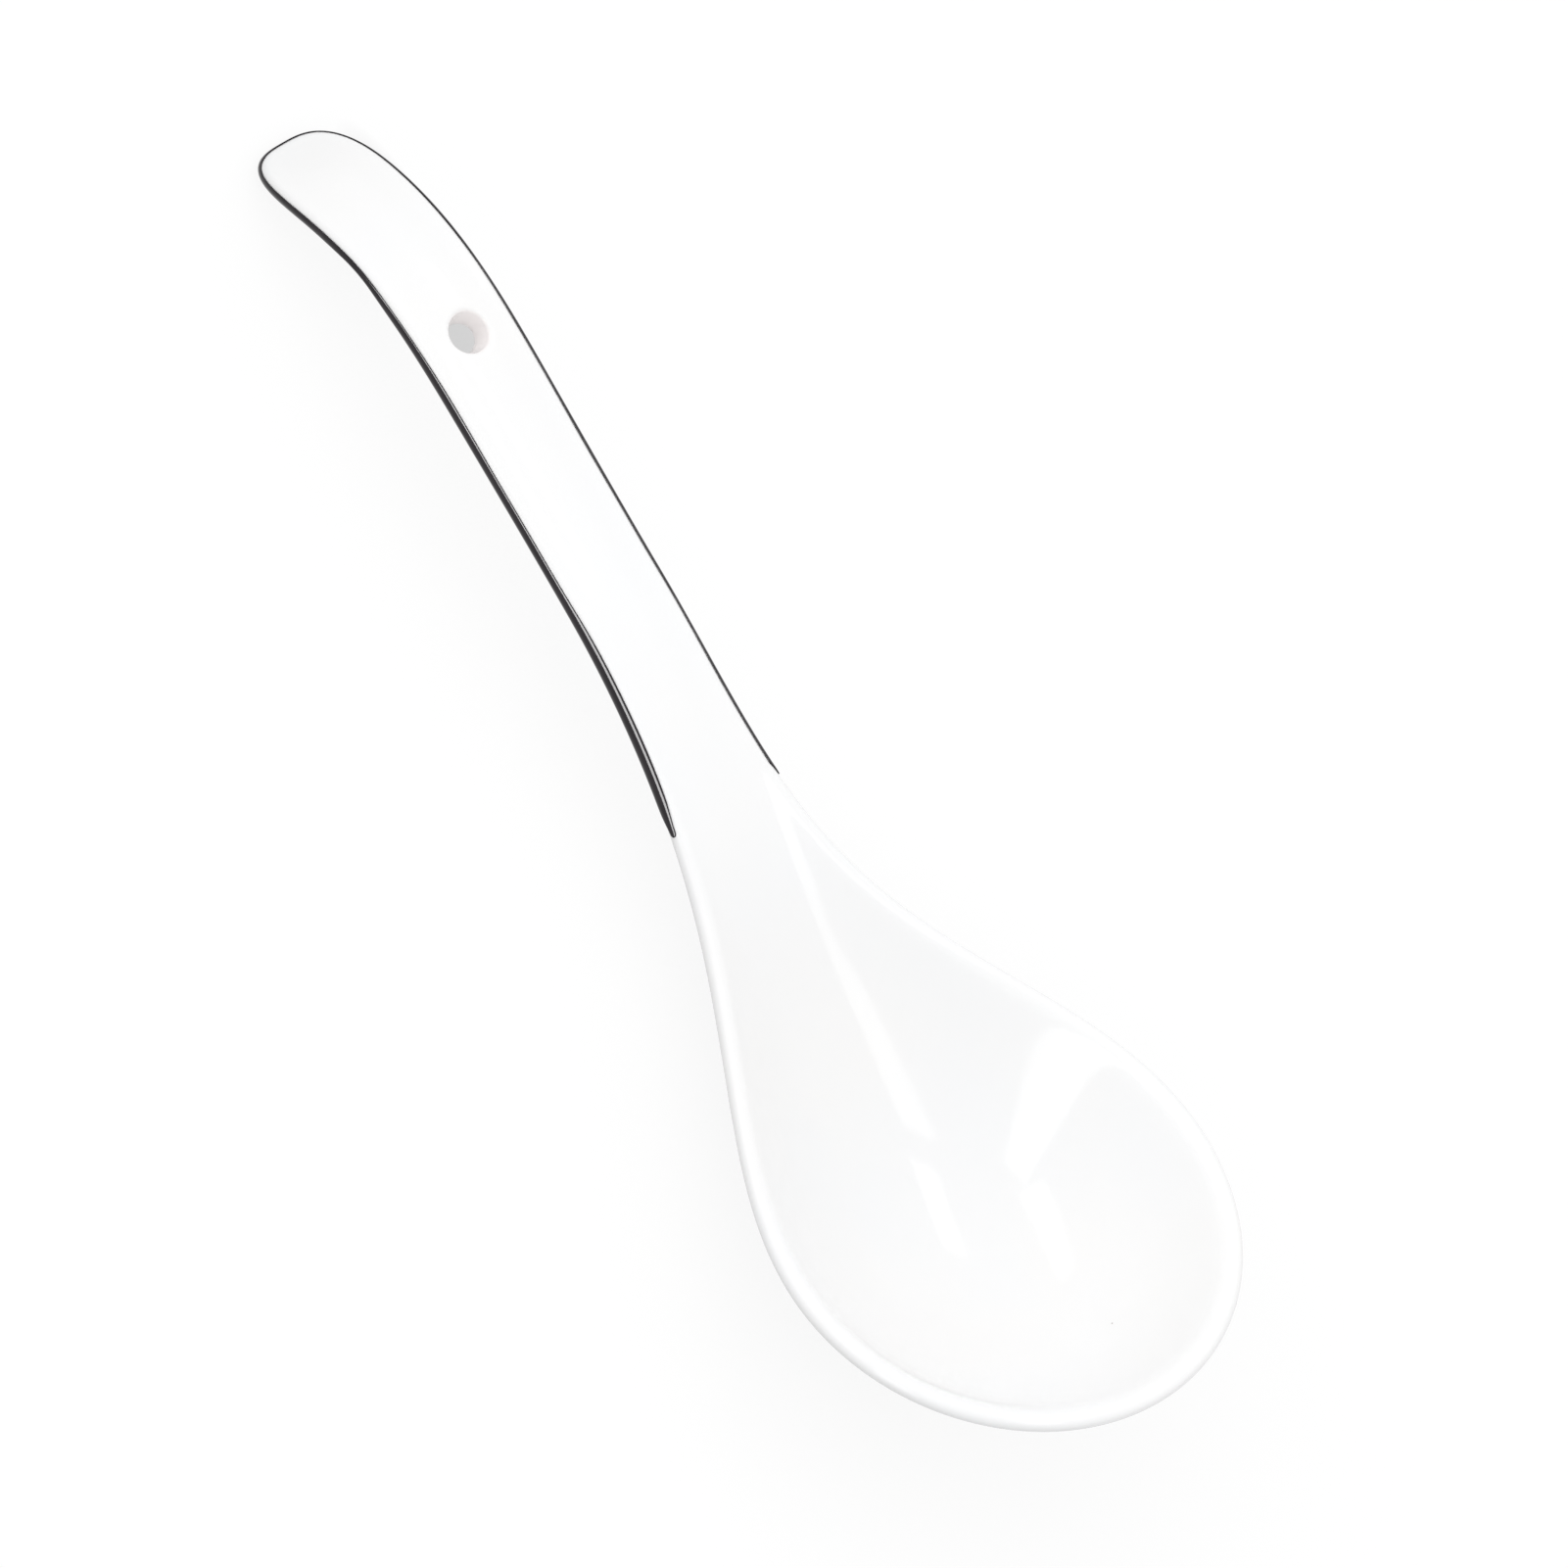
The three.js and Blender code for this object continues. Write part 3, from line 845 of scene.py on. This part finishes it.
world = bpy.data.worlds.new("white_room")
bpy.context.scene.world = world
world.use_nodes = True
nodes, links = world.node_tree.nodes, world.node_tree.links
background = nodes["Background"]
background.inputs["Color"].default_value = (1, 1, 1, 1)
geometry = nodes.new("ShaderNodeNewGeometry")
parts = nodes.new("ShaderNodeSeparateXYZ")
links.new(geometry.outputs["Incoming"], parts.inputs["Vector"])
height = nodes.new("ShaderNodeMath")
height.operation = "ABSOLUTE"
links.new(parts.outputs["Z"], height.inputs[0])
strength = nodes.new("ShaderNodeMix")
links.new(seen_directly(), strength.inputs[MIX_SHARE])
links.new(between(height.outputs["Value"], WALL_LEVEL, CEILING_LEVEL), strength.inputs[MIX_FROM])
strength.inputs[MIX_TO].default_value = 1
links.new(strength.outputs[MIX_NUMBER], background.inputs["Strength"])
print("the room lights the table at", round(blend(WALL_LEVEL, CEILING_LEVEL, CEILING_SHARE), 2), "of white")

# %% [markdown]
# ## Daylight
# A broad, soft light over the end of the handle gives the bowl its form: its front and its far wall are
# lighter than its near one. A small, weak light low over the bowl fills its hollow. The broad one alone
# could do that if it were brighter, but it would bleach the handle first. The glaze would mirror both as
# great patches, so mirrors do not see them.
# %% Daylight
DAYLIGHT_SPOT = (-0.55, -0.06, 0.95)
DAYLIGHT_SIZE = (1.3, 1.3)
DAYLIGHT_TURNS = (3, -30, 0)
DAYLIGHT_GLOW = 0.7
FILL_SPOT = (0.06, -0.02, 0.15)
FILL_SIZE = (0.24, 0.2)
FILL_TURNS = (0, 0, 0)
FILL_GLOW = 0.17


def hang_lamp(name, spot, size, turns, glow):
    """A flat lamp, turned from facing down. A glow of 1 is white."""
    bpy.ops.object.light_add(type="AREA", location=spot)
    lamp = bpy.context.object
    lamp.name = name
    lamp.rotation_mode = "ZXY"
    lamp.rotation_euler = [radians(turn) for turn in turns]
    lamp.data.shape = "RECTANGLE"
    lamp.data.size, lamp.data.size_y = size
    lamp.data.energy = glow * pi * size[0] * size[1]
    lamp.visible_camera = False
    print(name, "glows at", glow, "and gives", round(lamp.data.energy, 2), "W")
    return lamp


for lamp in (
    hang_lamp("daylight", DAYLIGHT_SPOT, DAYLIGHT_SIZE, DAYLIGHT_TURNS, DAYLIGHT_GLOW),
    hang_lamp("bowl_fill", FILL_SPOT, FILL_SIZE, FILL_TURNS, FILL_GLOW),
):
    lamp.visible_glossy = False

# %% [markdown]
# ## Mirrored lamps
# Long lamps over the table leave the streaks and patches in the glaze. Each one stands where the mirrored
# view of its patch ends. A tall window on the near side is mirrored as the bright patch on the bowl's far
# wall, and a wide, low one behind a blind as the light strip in the black line. Their light on the spoon is
# small and counted with the daylight, so only mirrors see them, and each one only in the pieces that show
# it in the photograph. A room full of real lamps would fill the glaze with more streaks than it has.
# %% Mirrored lamps: over the table
LAMP_HEIGHT = 0.9
LAMP_GLOW = 1.2
# Name, middle and size in shares of the lamps' height, turn in degrees, pieces that mirror it.
LAMPS = (
    ("strip_front", (0.47, -0.2), (0.62, 0.23), -24, (bowl, handle)),
    ("strip_back", (-0.17, 0.225), (0.58, 0.2), -33, (bowl,)),
    ("side_back", (-1.2, -0.62), (1.72, 0.36), -6.5, (bowl,)),
    ("grip_streak", (-0.11, 0.17), (0.18, 0.07), 0, (handle,)),
    ("grip_patch", (-0.46, 0.66), (0.24, 0.45), 0, (handle,)),
)


def mirror_in(lamp, pieces):
    """Leaves only the lamp's mirrored image, in the pieces given."""
    lamp.visible_diffuse = False
    seen_in = bpy.data.collections.new("seen_in_" + lamp.name)
    for piece in pieces:
        seen_in.objects.link(piece)
    lamp.light_linking.receiver_collection = seen_in


for name, middle, size, turn, pieces in LAMPS:
    spot = Vector((*middle, 1)) * LAMP_HEIGHT
    mirror_in(hang_lamp(name, spot, Vector(size) * LAMP_HEIGHT, (0, 0, turn), LAMP_GLOW), pieces)

# %% Mirrored lamps: the window and the blind
WINDOW_SPOT = (-0.044, -1.3, 1.21)
WINDOW_SIZE = (0.4, 1.81)
WINDOW_TURNS = (90, -29, 0)
WINDOW_GLOW = 1.4
BLIND_SPOT = (0.2, -1.3, 0.98)
BLIND_SIZE = (1.6, 0.97)
BLIND_TURNS = (90, 0, 0)
BLIND_GLOW = 20

mirror_in(hang_lamp("window", WINDOW_SPOT, WINDOW_SIZE, WINDOW_TURNS, WINDOW_GLOW), (bowl, handle))
mirror_in(hang_lamp("blind", BLIND_SPOT, BLIND_SIZE, BLIND_TURNS, BLIND_GLOW), (line,))

# %% [markdown]
# ## Pieces
# Each finished piece stands for its solids: the handle also for the layer of slip in the joint, which the
# glaze hides. Nothing may stand out of the solids' box.
# %% Pieces
for piece, slot, stood_for in (
    (bowl, "porcelain", ["bowl"]),
    (handle, "porcelain", ["handle", "luting_seam"]),
    (line, "black_enamel", ["edge_line"]),
):
    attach(piece, "root")
    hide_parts(*stood_for)
bpy.context.scene.view_settings.view_transform = "Standard"
